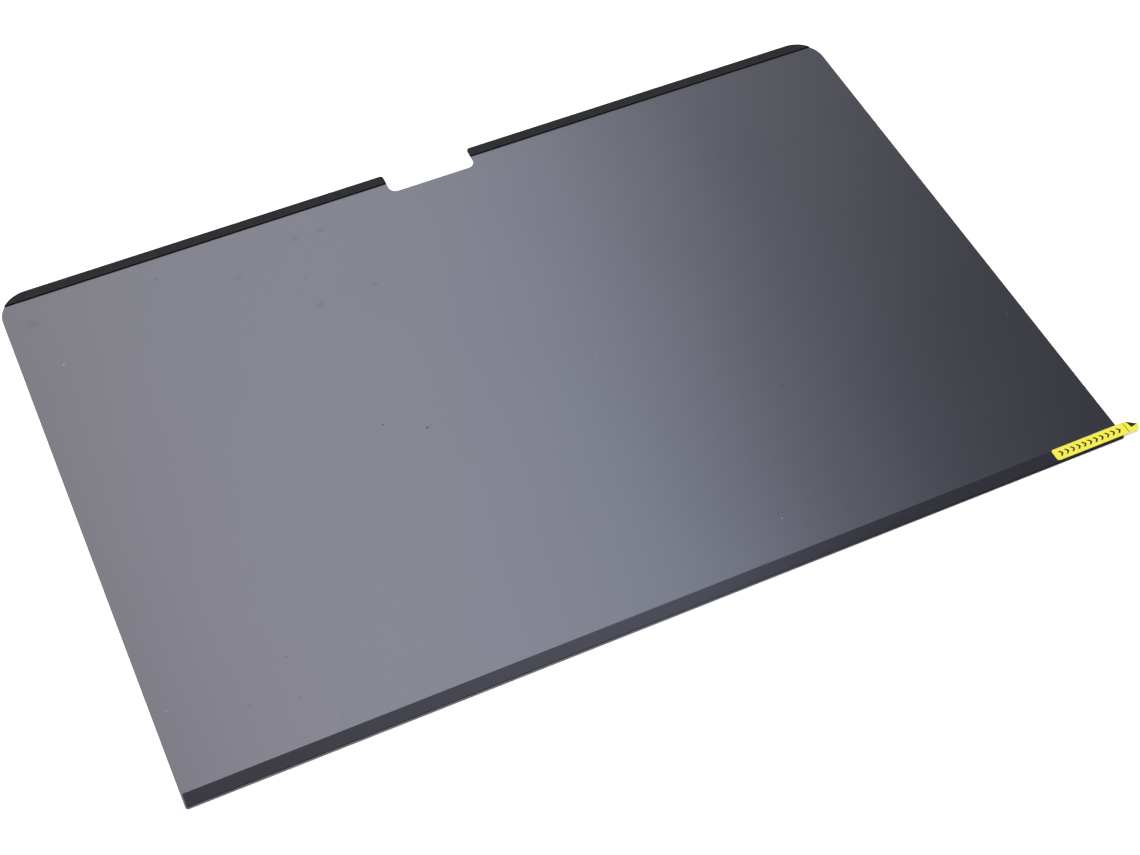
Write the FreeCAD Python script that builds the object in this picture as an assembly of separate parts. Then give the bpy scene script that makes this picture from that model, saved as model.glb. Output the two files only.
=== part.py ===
import FreeCAD, Part
import math
import os

# Anti-glare film for a laptop screen, lying face up on the XY plane, in millimetres.
# The origin is the middle of the film's underside, with +X to the right along its long side,
# +Y towards the edge with the camera notch and +Z out of the face that goes against the screen.

# Film: one stiff sheet with large corners at the top and nearly square ones at the bottom.
film_length = 348.0
film_height = 232.0
film_thickness = 0.4
top_corner_radius = 11.5
bottom_corner_radius = 1.0

# Camera notch in the middle of the top edge.
notch_width = 36.0
notch_depth = 9.8
notch_floor_radius = 3.2
notch_mouth_radius = 1.2

# Magnet strips on the top edge, one on each side of the notch, flush with the film's outline.
magnet_width = 4.3
magnet_thickness = 0.45

# Adhesive strip along the bottom edge, set in a little from the film's outline.
adhesive_width = 5.0
adhesive_thickness = 0.2
adhesive_edge_margin = 0.5
adhesive_end_margin = 0.5
adhesive_corner_radius = 0.4

# Release liner on the adhesive strip, cut with it to the same outline.
liner_thickness = 0.1

# Pull tab stuck on the liner's right end. Its outer end stands free of the film,
# with the upper corner cut off on a slant and the lower corner rounded.
tab_length = 34.7
tab_width = 4.9
tab_thickness = 0.1
tab_overhang = 7.3
tab_setback = 0.4
tab_corner_radius = 0.9
tab_end_radius = 2.0
tab_cut_length = 3.6
tab_cut_drop = 2.5


def outline(corners):
    """Closed flat outline through (x, y, radius) corners, each rounded by a tangent arc of its radius."""
    edges = []
    ends = []
    for i, (x, y, radius) in enumerate(corners):
        corner = FreeCAD.Vector(x, y, 0)
        before = FreeCAD.Vector(*corners[i - 1][:2], 0) - corner
        after = FreeCAD.Vector(*corners[(i + 1) % len(corners)][:2], 0) - corner
        before.normalize()
        after.normalize()
        if radius == 0:
            ends.append((corner, corner))
            continue
        half_angle = before.getAngle(after) / 2
        setback = radius / math.tan(half_angle)
        middle = before + after
        middle.normalize()
        start = corner + before * setback
        end = corner + after * setback
        crown = corner + middle * (radius / math.sin(half_angle) - radius)
        edges.append(Part.Arc(start, crown, end).toShape())
        ends.append((start, end))
    for i, (start, end) in enumerate(ends):
        edges.append(Part.LineSegment(ends[i - 1][1], start).toShape())
    return Part.Wire(Part.__sortEdges__(edges))


def sheet(wire, underside, thickness):
    """Flat piece of the outline's shape, with its underside at the given height."""
    solid = Part.Face(wire).extrude(FreeCAD.Vector(0, 0, thickness))
    solid.translate(FreeCAD.Vector(0, 0, underside))
    return solid


right = film_length / 2
top = film_height / 2
notch_side = notch_width / 2
notch_floor = top - notch_depth

film_outline = outline([
    (-right, -top, bottom_corner_radius),
    (right, -top, bottom_corner_radius),
    (right, top, top_corner_radius),
    (notch_side, top, notch_mouth_radius),
    (notch_side, notch_floor, notch_floor_radius),
    (-notch_side, notch_floor, notch_floor_radius),
    (-notch_side, top, notch_mouth_radius),
    (-right, top, top_corner_radius),
])
film_sheet = sheet(film_outline, 0, film_thickness)

# Each magnet strip is what a straight band along the top edge has in common with the film's outline,
# so its outer end follows the rounded corner and its inner end the mouth of the notch.
magnet_layer = sheet(film_outline, film_thickness, magnet_thickness)
band_start = FreeCAD.Vector(0, top - magnet_width, film_thickness)
right_band = Part.makeBox(right, magnet_width, magnet_thickness, band_start)
left_band = right_band.mirror(FreeCAD.Vector(0, 0, 0), FreeCAD.Vector(1, 0, 0))
magnet_strip_right = magnet_layer.common(right_band).Solids[0]
magnet_strip_left = magnet_layer.common(left_band).Solids[0]

adhesive_end = right - adhesive_end_margin
adhesive_bottom = -top + adhesive_edge_margin
adhesive_top = adhesive_bottom + adhesive_width
adhesive_outline = outline([
    (-adhesive_end, adhesive_bottom, adhesive_corner_radius),
    (adhesive_end, adhesive_bottom, adhesive_corner_radius),
    (adhesive_end, adhesive_top, adhesive_corner_radius),
    (-adhesive_end, adhesive_top, adhesive_corner_radius),
])
adhesive_strip = sheet(adhesive_outline, film_thickness, adhesive_thickness)
liner_underside = film_thickness + adhesive_thickness
strip_liner = sheet(adhesive_outline, liner_underside, liner_thickness)

tab_right = right + tab_overhang
tab_left = tab_right - tab_length
tab_bottom = adhesive_bottom + tab_setback
tab_top = tab_bottom + tab_width
tab_outline = outline([
    (tab_left, tab_bottom, tab_corner_radius),
    (tab_right, tab_bottom, tab_end_radius),
    (tab_right, tab_top - tab_cut_drop, 0),
    (tab_right - tab_cut_length, tab_top, 0),
    (tab_left, tab_top, tab_corner_radius),
])
pull_tab = sheet(tab_outline, liner_underside + liner_thickness, tab_thickness)

pieces = {
    "film_sheet": film_sheet,
    "magnet_strip_left": magnet_strip_left,
    "magnet_strip_right": magnet_strip_right,
    "adhesive_strip": adhesive_strip,
    "strip_liner": strip_liner,
    "pull_tab": pull_tab,
}
os.makedirs("parts", exist_ok=True)
for name, solid in pieces.items():
    solid.exportStep(f"parts/{name}.step")
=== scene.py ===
import math
import bmesh
import bpy
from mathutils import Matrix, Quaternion, Vector


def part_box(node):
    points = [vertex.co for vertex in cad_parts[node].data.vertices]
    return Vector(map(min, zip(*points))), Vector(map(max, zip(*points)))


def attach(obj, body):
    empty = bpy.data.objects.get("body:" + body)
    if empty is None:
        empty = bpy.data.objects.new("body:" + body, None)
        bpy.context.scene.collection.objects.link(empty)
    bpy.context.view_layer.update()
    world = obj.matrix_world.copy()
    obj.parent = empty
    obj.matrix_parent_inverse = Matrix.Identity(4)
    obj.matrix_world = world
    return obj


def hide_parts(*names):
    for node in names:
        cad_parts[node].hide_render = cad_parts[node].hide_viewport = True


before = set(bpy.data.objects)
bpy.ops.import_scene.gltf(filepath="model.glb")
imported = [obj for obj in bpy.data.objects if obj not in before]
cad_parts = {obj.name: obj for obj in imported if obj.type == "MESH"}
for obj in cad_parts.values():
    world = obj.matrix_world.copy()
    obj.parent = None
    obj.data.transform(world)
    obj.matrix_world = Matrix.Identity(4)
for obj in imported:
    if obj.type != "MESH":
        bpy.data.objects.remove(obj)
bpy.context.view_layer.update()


# Film sheet
# One sheet of dark polyester film with a hard anti-glare coat, die-cut with two round corners and
# a notch for the camera above a laptop's screen. The other pieces are all stuck on its upper face.

MM = 0.001
film_edge_easing = 0.05 * MM
film_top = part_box("film_sheet")[1].z


def piece_from(shape, name):
    """A new piece of that name, with the mesh that the shape was worked into."""
    mesh = bpy.data.meshes.new(name)
    shape.to_mesh(mesh)
    shape.free()
    piece = bpy.data.objects.new(name, mesh)
    bpy.context.scene.collection.objects.link(piece)
    return piece


def eased_copy(node, easing):
    """A new piece in the shape of a CAD node, with its sharp edges eased by that many metres."""
    same_point = 0.001 * MM
    flat_angle = math.radians(1)
    sharp_angle = math.radians(50)
    easing_steps = 3
    shape = bmesh.new()
    shape.from_mesh(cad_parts[node].data)
    bmesh.ops.remove_doubles(shape, verts=shape.verts, dist=same_point)
    bmesh.ops.dissolve_limit(shape, angle_limit=flat_angle, verts=shape.verts, edges=shape.edges)
    sharp = [edge for edge in shape.edges if edge.calc_face_angle() > sharp_angle]
    bmesh.ops.bevel(shape, geom=sharp, offset=easing, segments=easing_steps, profile=0.5, affect="EDGES")
    bmesh.ops.triangulate(shape, faces=shape.faces)
    return piece_from(shape, node + "_finished")


def linear(hex_colour):
    """An sRGB hex colour as linear red, green, blue and a full alpha."""
    shares = [int(hex_colour[i:i + 2], 16) / 255 for i in (0, 2, 4)]
    return [s / 12.92 if s <= 0.04045 else ((s + 0.055) / 1.055) ** 2.4 for s in shares] + [1.0]


def empty_material(name):
    """A material with an empty node tree."""
    material = bpy.data.materials.new(name)
    material.use_nodes = True
    material.node_tree.nodes.clear()
    return material


def add(tree, kind, inputs, **settings):
    """Adds a node to a tree. Settings are its properties, and an input is a value or a socket to link."""
    node = tree.nodes.new(kind)
    for name, value in settings.items():
        setattr(node, name, value)
    for name, value in inputs.items():
        if isinstance(value, bpy.types.NodeSocket):
            tree.links.new(value, node.inputs[name])
        else:
            node.inputs[name].default_value = value
    return node


def spots(tree, position, places, height):
    """A mask that is 1 at the middle of each (x, y, radius) place, in mm, and fades to 0 at its rim."""
    mask = None
    for x, y, radius in places:
        centre = (x * MM, y * MM, height)
        reach = add(tree, "ShaderNodeVectorMath", {0: position, 1: centre}, operation="DISTANCE")
        spot = add(tree, "ShaderNodeMapRange",
                   {"Value": reach.outputs["Value"], "From Min": radius * MM, "From Max": 0.0},
                   interpolation_type="SMOOTHSTEP").outputs["Result"]
        if mask is not None:
            spot = add(tree, "ShaderNodeMath", {0: mask, 1: spot}, operation="MAXIMUM").outputs["Value"]
        mask = spot
    return mask


film_colour = linear("24242a")
film_colour_worn = linear("292930")
film_sheen = linear("e5e6f9")
film_roughness = 0.275
worn_patch_size = 45 * MM
wave_length = 90 * MM
wave_height = 0.3 * MM

# The coat's etched grain is a few hundredths of a millimetre wide, and is drawn coarser so that it shows.
grain_size = 0.5 * MM
grain_height = 0.05 * MM

# Marks left by handling, each as (x, y, radius) in mm on the sheet: dull finger smudges with a ragged rim,
# dark grit and pale dust.
smudges = [
    (-164, 99, 3.5), (-63, 63, 2.5), (-87, 89, 2.5), (-50, 99, 2.5), (-61, 99, 2.5), (-41, 64, 2.5),
]
smudge_roughness = 0.36
smudge_rag_size = 1.2 * MM
smudge_rag_reach = 0.9 * MM
grit = [
    (-49, -8, 0.6), (-63, 0, 0.5), (-116, 101, 0.5), (-127, -77, 0.45), (-64, 78, 0.45),
    (-38, -60, 0.4), (75, -44, 0.7), (-128, -93, 0.35), (-144, -89, 0.35), (-118, -106, 0.3),
]
grit_colour = linear("141415")
grit_roughness = 0.9
dust = [
    (-159, 75, 0.4), (47, -96, 0.3), (20, -2, 0.2), (167, -49, 0.2), (168, 68, 0.2), (-169, -80, 0.2),
]
dust_colour = linear("b9bac0")

# Hard-coated polyester: a dark satin sheet. The etched grain of its coat spreads a lamp's reflection into
# one soft gradient, and the sheet lies very slightly wavy. Grease and grit dull it, and dust shows pale.
film_finish = empty_material("hard_coated_polyester")
tree = film_finish.node_tree
position = add(tree, "ShaderNodeTexCoord", {}).outputs["Object"]
rag = add(tree, "ShaderNodeTexNoise", {"Vector": position, "Scale": 1 / smudge_rag_size, "Detail": 2.0})
both_ways = add(tree, "ShaderNodeVectorMath",
                {0: rag.outputs["Color"], 1: (0.5, 0.5, 0.5)}, operation="SUBTRACT")
shift = add(tree, "ShaderNodeVectorMath",
            {0: both_ways.outputs["Vector"], "Scale": smudge_rag_reach}, operation="SCALE")
ragged = add(tree, "ShaderNodeVectorMath", {0: position, 1: shift.outputs["Vector"]}, operation="ADD")
greasy = spots(tree, ragged.outputs["Vector"], smudges, film_top)
gritty = spots(tree, position, grit, film_top)
dusty = spots(tree, position, dust, film_top)
patch = add(tree, "ShaderNodeTexNoise", {"Vector": position, "Scale": 1 / worn_patch_size, "Detail": 3.0})
worn = add(tree, "ShaderNodeMix",
           {"Factor": patch.outputs["Fac"], "A": film_colour, "B": film_colour_worn}, data_type="RGBA")
soiled = add(tree, "ShaderNodeMix",
             {"Factor": gritty, "A": worn.outputs["Result"], "B": grit_colour}, data_type="RGBA")
dusted = add(tree, "ShaderNodeMix",
             {"Factor": dusty, "A": soiled.outputs["Result"], "B": dust_colour}, data_type="RGBA")
smudged = add(tree, "ShaderNodeMapRange",
              {"Value": greasy, "To Min": film_roughness, "To Max": smudge_roughness})
dulled = add(tree, "ShaderNodeMapRange",
             {"Value": gritty, "To Min": smudged.outputs["Result"], "To Max": grit_roughness})
grain = add(tree, "ShaderNodeTexNoise", {"Vector": position, "Scale": 1 / grain_size, "Detail": 1.0})
etched = add(tree, "ShaderNodeBump",
             {"Height": grain.outputs["Fac"], "Strength": 0.04, "Distance": grain_height})
wave = add(tree, "ShaderNodeTexNoise", {"Vector": position, "Scale": 1 / wave_length, "Detail": 1.0})
wavy = add(tree, "ShaderNodeBump",
           {"Height": wave.outputs["Fac"], "Strength": 1.0, "Distance": wave_height,
            "Normal": etched.outputs["Normal"]})
coat = add(tree, "ShaderNodeBsdfPrincipled",
           {"Base Color": dusted.outputs["Result"], "Roughness": dulled.outputs["Result"], "IOR": 1.65,
            "Specular Tint": film_sheen, "Normal": wavy.outputs["Normal"]})
add(tree, "ShaderNodeOutputMaterial", {"Surface": coat.outputs["BSDF"]})

cut_edge_colour = linear("08080a")
cut_edge_colour_scuffed = linear("16161a")
cut_edge_steepness = 0.5
cut_edge_slot = 1
scuff_size = 0.6 * MM

# Die-cut polyester: the blade leaves the sheet's core bare, so its edge is a fine black line with no shine.
cut_edge_finish = empty_material("die_cut_polyester")
tree = cut_edge_finish.node_tree
position = add(tree, "ShaderNodeTexCoord", {}).outputs["Object"]
scuff = add(tree, "ShaderNodeTexNoise", {"Vector": position, "Scale": 1 / scuff_size, "Detail": 2.0})
scuffed = add(tree, "ShaderNodeMix",
              {"Factor": scuff.outputs["Fac"], "A": cut_edge_colour, "B": cut_edge_colour_scuffed},
              data_type="RGBA")
core = add(tree, "ShaderNodeBsdfPrincipled",
           {"Base Color": scuffed.outputs["Result"], "Roughness": 0.8, "IOR": 1.65,
            "Specular IOR Level": 0.1})
add(tree, "ShaderNodeOutputMaterial", {"Surface": core.outputs["BSDF"]})

film = eased_copy("film_sheet", film_edge_easing)
film.data.materials.append(film_finish)
film.data.materials.append(cut_edge_finish)
for face in film.data.polygons:
    if abs(face.normal.z) < cut_edge_steepness:
        face.material_index = cut_edge_slot
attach(film, "root")
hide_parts("film_sheet")


# Magnet strips
# Two flat strips of flexible magnet, ferrite powder in black rubber, along the top edge on each side of
# the notch. They are rolled to thickness, stuck on the sheet and trimmed with its corners.

magnet_edge_easing = 0.06 * MM
magnet_colour = linear("141318")
magnet_colour_pale = linear("28272d")
# Painted shade: the strips' sides take this colour, which is blacker than their top.
magnet_side_painted_shade = linear("08080a")
mottle_size = 2.5 * MM

# The powder's grains are a few thousandths of a millimetre wide, and are drawn coarser so that they show.
powder_size = 0.4 * MM
powder_height = 0.06 * MM

# Ferrite-filled rubber: a dead black-grey with no clear highlight, faintly mottled and grainy where the
# powder comes to the surface. Its sides are drawn blacker than its top, as painted shade on the strip's
# walls.
magnet_finish = empty_material("ferrite_rubber")
tree = magnet_finish.node_tree
place = add(tree, "ShaderNodeTexCoord", {})
position = place.outputs["Object"]
outward = place.outputs["Normal"]
mottle = add(tree, "ShaderNodeTexNoise", {"Vector": position, "Scale": 1 / mottle_size, "Detail": 4.0})
mottled = add(tree, "ShaderNodeMix",
              {"Factor": mottle.outputs["Fac"], "A": magnet_colour, "B": magnet_colour_pale},
              data_type="RGBA")
facing_up = add(tree, "ShaderNodeSeparateXYZ", {"Vector": outward}).outputs["Z"]
# Painted shade: faces that turn away from up, that is the sides and the bevels, blend into the blacker side
# colour.
painted_side_shade = add(tree, "ShaderNodeMix",
           {"Factor": facing_up, "A": magnet_side_painted_shade, "B": mottled.outputs["Result"]},
           data_type="RGBA")
powder = add(tree, "ShaderNodeTexNoise", {"Vector": position, "Scale": 1 / powder_size, "Detail": 2.0})
grainy = add(tree, "ShaderNodeBump",
             {"Height": powder.outputs["Fac"], "Strength": 0.25, "Distance": powder_height})
rubber = add(tree, "ShaderNodeBsdfPrincipled",
             {"Base Color": painted_side_shade.outputs["Result"], "Roughness": 0.8, "IOR": 1.5,
              "Specular IOR Level": 0.2, "Normal": grainy.outputs["Normal"]})
add(tree, "ShaderNodeOutputMaterial", {"Surface": rubber.outputs["BSDF"]})

for node in ("magnet_strip_left", "magnet_strip_right"):
    strip = eased_copy(node, magnet_edge_easing)
    strip.data.materials.append(magnet_finish)
    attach(strip, "root")
    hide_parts(node)


# Adhesive strip
# A narrow band of black foam tape along the bottom edge, slit from a roll and pressed onto the sheet.
# It holds the sheet to the lower frame of the screen, and only its cut sides show.

adhesive_edge_easing = 0.04 * MM
adhesive_colour = linear("1d1d20")
adhesive_colour_pale = linear("29292d")
foam_cell_size = 0.2 * MM
foam_cell_depth = 0.05 * MM

# Polyethylene foam: soft, matt and black, with fine open cells along the slit sides.
adhesive_finish = empty_material("polyethylene_foam")
tree = adhesive_finish.node_tree
position = add(tree, "ShaderNodeTexCoord", {}).outputs["Object"]
cells = add(tree, "ShaderNodeTexVoronoi", {"Vector": position, "Scale": 1 / foam_cell_size})
celled = add(tree, "ShaderNodeMix",
             {"Factor": cells.outputs["Distance"], "A": adhesive_colour_pale, "B": adhesive_colour},
             data_type="RGBA")
pitted = add(tree, "ShaderNodeBump",
             {"Height": cells.outputs["Distance"], "Strength": 0.4, "Distance": foam_cell_depth})
foam = add(tree, "ShaderNodeBsdfPrincipled",
           {"Base Color": celled.outputs["Result"], "Roughness": 0.9, "IOR": 1.5,
            "Specular IOR Level": 0.3, "Normal": pitted.outputs["Normal"]})
add(tree, "ShaderNodeOutputMaterial", {"Surface": foam.outputs["BSDF"]})

adhesive = eased_copy("adhesive_strip", adhesive_edge_easing)
adhesive.data.materials.append(adhesive_finish)
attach(adhesive, "root")
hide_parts("adhesive_strip")


# Strip liner
# The release film over the adhesive, slit together with the tape, so it has the same outline. It peels
# off from its right-hand end when the sheet is put up.

liner_edge_easing = 0.02 * MM
liner_colour = linear("2f2e36")
liner_colour_pale = linear("33333c")
liner_sheen = linear("e6e8ff")
streak_width = 1.5 * MM
streak_length = 30 * MM
liner_roughness = 0.17
liner_roughness_streaked = 0.21
handled_roughness = 0.6
handled_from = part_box("strip_liner")[0].x
handled_length = 155 * MM

# Silicone-coated polyester: dark, smooth and only half glossy, with slight streaks along its length.
# Handling has dulled it more and more towards its left-hand end.
liner_finish = empty_material("silicone_coated_polyester")
tree = liner_finish.node_tree
position = add(tree, "ShaderNodeTexCoord", {}).outputs["Object"]
along = add(tree, "ShaderNodeMapping",
            {"Vector": position, "Scale": (streak_width / streak_length, 1.0, 1.0)})
streak = add(tree, "ShaderNodeTexNoise",
             {"Vector": along.outputs["Vector"], "Scale": 1 / streak_width, "Detail": 2.0})
streaked = add(tree, "ShaderNodeMix",
               {"Factor": streak.outputs["Fac"], "A": liner_colour, "B": liner_colour_pale},
               data_type="RGBA")
satin = add(tree, "ShaderNodeMapRange",
            {"Value": streak.outputs["Fac"], "To Min": liner_roughness, "To Max": liner_roughness_streaked})
lengthwise = add(tree, "ShaderNodeSeparateXYZ", {"Vector": position}).outputs["X"]
handled = add(tree, "ShaderNodeMapRange",
              {"Value": lengthwise, "From Min": handled_from, "From Max": handled_from + handled_length,
               "To Min": handled_roughness, "To Max": satin.outputs["Result"]})
release = add(tree, "ShaderNodeBsdfPrincipled",
              {"Base Color": streaked.outputs["Result"], "Roughness": handled.outputs["Result"],
               "IOR": 1.4, "Specular IOR Level": 0.19, "Specular Tint": liner_sheen})
add(tree, "ShaderNodeOutputMaterial", {"Surface": release.outputs["BSDF"]})

liner = eased_copy("strip_liner", liner_edge_easing)
liner.data.materials.append(liner_finish)
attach(liner, "root")
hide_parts("strip_liner")


# Pull tab
# A tab of yellow label polyester, die-cut with one corner off and stuck on the right-hand end of the liner.
# Its end stands free of the sheet, so that a finger can find and lift it.

tab_edge_easing = 0.02 * MM
tab_colour = linear("f9f056")
tab_colour_deep = linear("f6ea49")
tint_patch_size = 3 * MM

# Printed label polyester: a flat bright yellow, very slightly uneven, with a soft satin shine.
tab_finish = empty_material("yellow_label_polyester")
tree = tab_finish.node_tree
position = add(tree, "ShaderNodeTexCoord", {}).outputs["Object"]
tint = add(tree, "ShaderNodeTexNoise", {"Vector": position, "Scale": 1 / tint_patch_size, "Detail": 2.0})
yellow = add(tree, "ShaderNodeMix",
             {"Factor": tint.outputs["Fac"], "A": tab_colour, "B": tab_colour_deep}, data_type="RGBA")
label = add(tree, "ShaderNodeBsdfPrincipled",
            {"Base Color": yellow.outputs["Result"], "Roughness": 0.5, "IOR": 1.5,
             "Specular IOR Level": 0.2})
add(tree, "ShaderNodeOutputMaterial", {"Surface": label.outputs["BSDF"]})

tab = eased_copy("pull_tab", tab_edge_easing)
tab.data.materials.append(tab_finish)
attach(tab, "root")
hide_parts("pull_tab")


# Marks printed on the tab
# Dark ink laid on the yellow: a row of plain arrowheads that points to the lifting end, a thin line across
# the tab, and a small triangle that fills the cut corner like a turned-up page.

tab_low, tab_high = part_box("pull_tab")
ink_thickness = 0.02 * MM
ink_colour = linear("201c06")
ink_colour_thin = linear("352f0a")
ink_patch_size = 0.3 * MM

arrow_count = 11
arrow_pitch = 2.4 * MM
arrow_margin = 2.0 * MM
arrow_half_height = 1.1 * MM
arrow_depth = 0.9 * MM
arrow_stroke = 0.78 * MM

line_from_end = 4.94 * MM
line_width = 0.22 * MM
line_inset = 0.35 * MM

# The triangle's corners, in mm from the upper right corner of the tab's box.
corner_mark = [(-3.5, -0.15), (-2.9, -3.05), (-0.15, -2.5)]

# Screen ink: near black and matt, a little thin and uneven, so that some yellow comes through.
ink_finish = empty_material("screen_ink")
tree = ink_finish.node_tree
position = add(tree, "ShaderNodeTexCoord", {}).outputs["Object"]
coverage = add(tree, "ShaderNodeTexNoise", {"Vector": position, "Scale": 1 / ink_patch_size, "Detail": 2.0})
printed = add(tree, "ShaderNodeMix",
              {"Factor": coverage.outputs["Fac"], "A": ink_colour, "B": ink_colour_thin}, data_type="RGBA")
ink = add(tree, "ShaderNodeBsdfPrincipled",
          {"Base Color": printed.outputs["Result"], "Roughness": 0.7, "IOR": 1.5,
           "Specular IOR Level": 0.15})
add(tree, "ShaderNodeOutputMaterial", {"Surface": ink.outputs["BSDF"]})


def print_on_tab(name, outlines):
    """Adds a piece of thin flat prints on the tab's top face, one for each outline of (x, y) points."""
    shape = bmesh.new()
    for outline in outlines:
        corners = [shape.verts.new((x, y, tab_high.z)) for x, y in outline]
        under = shape.faces.new(corners)
        raised = bmesh.ops.extrude_face_region(shape, geom=[under], use_keep_orig=True)["geom"]
        tops = [part for part in raised if isinstance(part, bmesh.types.BMVert)]
        bmesh.ops.translate(shape, verts=tops, vec=(0, 0, ink_thickness))
    bmesh.ops.recalc_face_normals(shape, faces=shape.faces)
    piece = piece_from(shape, name)
    piece.data.materials.append(ink_finish)
    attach(piece, "root")


arrow_middle = (tab_low.y + tab_high.y) / 2
arrow_low = arrow_middle - arrow_half_height
arrow_high = arrow_middle + arrow_half_height
arrows = []
for i in range(arrow_count):
    left = tab_low.x + arrow_margin + i * arrow_pitch
    arrows.append([
        (left, arrow_low),
        (left + arrow_stroke, arrow_low),
        (left + arrow_stroke + arrow_depth, arrow_middle),
        (left + arrow_stroke, arrow_high),
        (left, arrow_high),
        (left + arrow_depth, arrow_middle),
    ])
print_on_tab("tab_arrowheads", arrows)

line_left = tab_high.x - line_from_end
line_right = line_left + line_width
line_low = tab_low.y + line_inset
line_high = tab_high.y - line_inset
line = [(line_left, line_low), (line_right, line_low), (line_right, line_high), (line_left, line_high)]
print_on_tab("tab_line", [line])

print_on_tab("tab_corner_mark", [[(tab_high.x + x * MM, tab_high.y + y * MM) for x, y in corner_mark]])


# Floor
# A wide white studio table, just under the sheet. It takes the object's shadow as a matt surface does,
# and looks white to the camera and in reflections without throwing that light on the object.

floor_half = 20.0
floor_height = -0.02 * MM
floor_colour = linear("f2f2f2")
floor_glow = 0.5

# Matt white laminate: an even white with no shine.
floor_finish = empty_material("white_laminate")
tree = floor_finish.node_tree
rays = add(tree, "ShaderNodeLightPath", {})
seen_or_mirrored = add(tree, "ShaderNodeMath",
                       {0: rays.outputs["Is Camera Ray"], 1: rays.outputs["Is Glossy Ray"]},
                       operation="MAXIMUM")
seen = add(tree, "ShaderNodeMath",
           {0: seen_or_mirrored.outputs["Value"], 1: rays.outputs["Is Transmission Ray"]},
           operation="MAXIMUM")
glow = add(tree, "ShaderNodeMath", {0: seen.outputs["Value"], 1: floor_glow}, operation="MULTIPLY")
table = add(tree, "ShaderNodeBsdfPrincipled",
            {"Base Color": floor_colour, "Roughness": 0.9, "Specular IOR Level": 0.0,
             "Emission Color": linear("ffffff"), "Emission Strength": glow.outputs["Value"]})
add(tree, "ShaderNodeOutputMaterial", {"Surface": table.outputs["BSDF"]})

floor_shape = bmesh.new()
for x, y in ((-1, -1), (1, -1), (1, 1), (-1, 1)):
    floor_shape.verts.new((x * floor_half, y * floor_half, floor_height))
floor_shape.faces.new(floor_shape.verts)
floor = piece_from(floor_shape, "floor")
floor.data.materials.append(floor_finish)


# Light
# One large softbox behind and above the sheet, brighter towards its top, and slightly warm on one side and
# cool on the other, in a room that is pale at the back and left and dark at the front and right. Their
# reflection is the sheen on the sheet's left half and its fall to dark grey at the right.

softbox_place = Vector((0.22, 1.22, 1.57))
softbox_width = 0.97
softbox_height = 2.5
softbox_lean = math.radians(13)
softbox_warm = linear("fdf4eb")
softbox_cool = linear("e8f4ff")
softbox_radiance = 3.81

# The share by which the softbox is brighter at its top, and darker at its foot, than halfway up.
softbox_grade = 0.94

# Places in the room run from -1 at its pale end to 1 at its dark end, and heights from 0 at the horizon to
# 1 overhead. The dark walls are grey low down, so that the sheet shows from those sides too.
room_turn = math.radians(-57)
room_pale = 1.47
room_pale_until = -0.45
room_dark = 0.02
room_dark_from = -0.12
low_wall = 0.6
low_wall_until = 0.25
low_wall_gone = 0.6
backdrop_white = 1.0

softbox_data = bpy.data.lights.new("softbox", "AREA")
softbox_data.shape = "RECTANGLE"
softbox_data.size = softbox_width
softbox_data.size_y = softbox_height
softbox_data.energy = softbox_radiance * math.pi * softbox_width * softbox_height
softbox_data.use_nodes = True
tree = softbox_data.node_tree
tree.nodes.clear()
cloth = add(tree, "ShaderNodeNewGeometry", {}).outputs["Parametric"]
on_cloth = add(tree, "ShaderNodeSeparateXYZ", {"Vector": cloth})
grade = add(tree, "ShaderNodeMapRange",
            {"Value": on_cloth.outputs["Y"], "To Min": 1 - softbox_grade, "To Max": 1 + softbox_grade})
warmth = add(tree, "ShaderNodeMix",
             {"Factor": on_cloth.outputs["X"], "A": softbox_cool, "B": softbox_warm}, data_type="RGBA")
lit_cloth = add(tree, "ShaderNodeEmission",
                {"Color": warmth.outputs["Result"], "Strength": grade.outputs["Result"]})
add(tree, "ShaderNodeOutputLight", {"Surface": lit_cloth.outputs["Emission"]})
softbox = bpy.data.objects.new("softbox", softbox_data)
softbox.location = softbox_place
softbox.rotation_mode = "QUATERNION"
facing = (-softbox_place).to_track_quat("-Z", "Y")
softbox.rotation_quaternion = facing @ Quaternion((0, 0, 1), softbox_lean)
softbox.visible_camera = False
bpy.context.scene.collection.objects.link(softbox)

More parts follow.
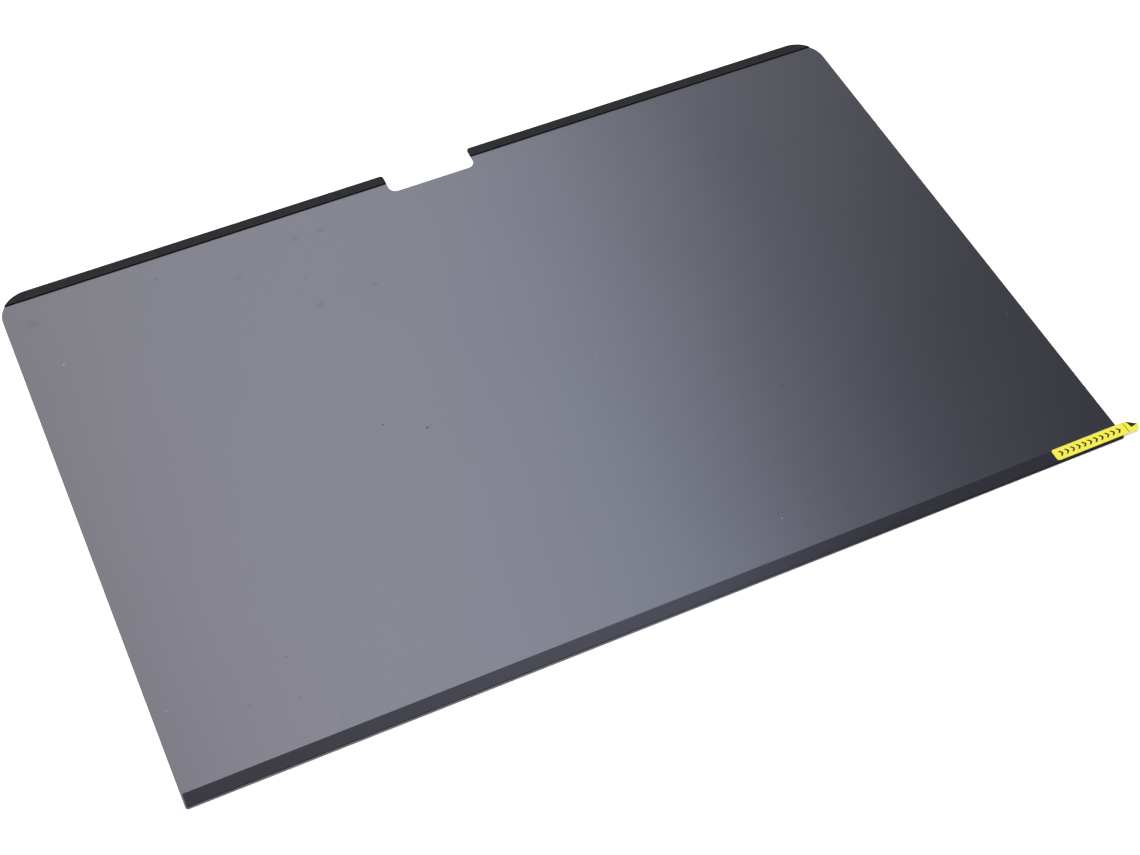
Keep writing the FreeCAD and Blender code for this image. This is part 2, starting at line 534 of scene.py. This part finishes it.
room = bpy.data.worlds.new("studio_room")
room.use_nodes = True
tree = room.node_tree
tree.nodes.clear()
direction = add(tree, "ShaderNodeTexCoord", {}).outputs["Generated"]
across_room = (math.cos(room_turn), math.sin(room_turn), 0.0)
across = add(tree, "ShaderNodeVectorMath", {0: direction, 1: across_room}, operation="DOT_PRODUCT")
upward = add(tree, "ShaderNodeSeparateXYZ", {"Vector": direction}).outputs["Z"]
dark_wall = add(tree, "ShaderNodeMapRange",
                {"Value": upward, "From Min": low_wall_until, "From Max": low_wall_gone,
                 "To Min": low_wall, "To Max": room_dark}, interpolation_type="SMOOTHSTEP")
walls = add(tree, "ShaderNodeMapRange",
            {"Value": across.outputs["Value"], "From Min": room_pale_until, "From Max": room_dark_from,
             "To Min": room_pale, "To Max": dark_wall.outputs["Result"]}, interpolation_type="SMOOTHSTEP")
camera_ray = add(tree, "ShaderNodeLightPath", {}).outputs["Is Camera Ray"]
backdrop = add(tree, "ShaderNodeMapRange",
               {"Value": camera_ray, "To Min": walls.outputs["Result"], "To Max": backdrop_white})
air = add(tree, "ShaderNodeBackground", {"Color": linear("ffffff"), "Strength": backdrop.outputs["Result"]})
add(tree, "ShaderNodeOutputWorld", {"Surface": air.outputs["Background"]})
bpy.context.scene.world = room


# Camera
# The photograph's view: from the front left, looking down on the sheet, with a slightly long lens, whose
# length is given in millimetres for a sensor of that width.

camera_place = Vector((-0.1835, -0.4311, 0.5678))
camera_aim = Vector((-0.00275, -0.02903, 0.0))
camera_roll = math.radians(-0.49)
camera_lens = 63.6
camera_sensor_width = 36.0

camera_data = bpy.data.cameras.new("camera")
camera_data.sensor_fit = "HORIZONTAL"
camera_data.sensor_width = camera_sensor_width
camera_data.lens = camera_lens
camera = bpy.data.objects.new("camera", camera_data)
camera.location = camera_place
camera.rotation_mode = "QUATERNION"
looking = (camera_aim - camera_place).to_track_quat("-Z", "Y")
camera.rotation_quaternion = looking @ Quaternion((0, 0, 1), camera_roll)
bpy.context.scene.collection.objects.link(camera)
bpy.context.scene.camera = camera
bpy.context.scene.view_settings.view_transform = "Standard"
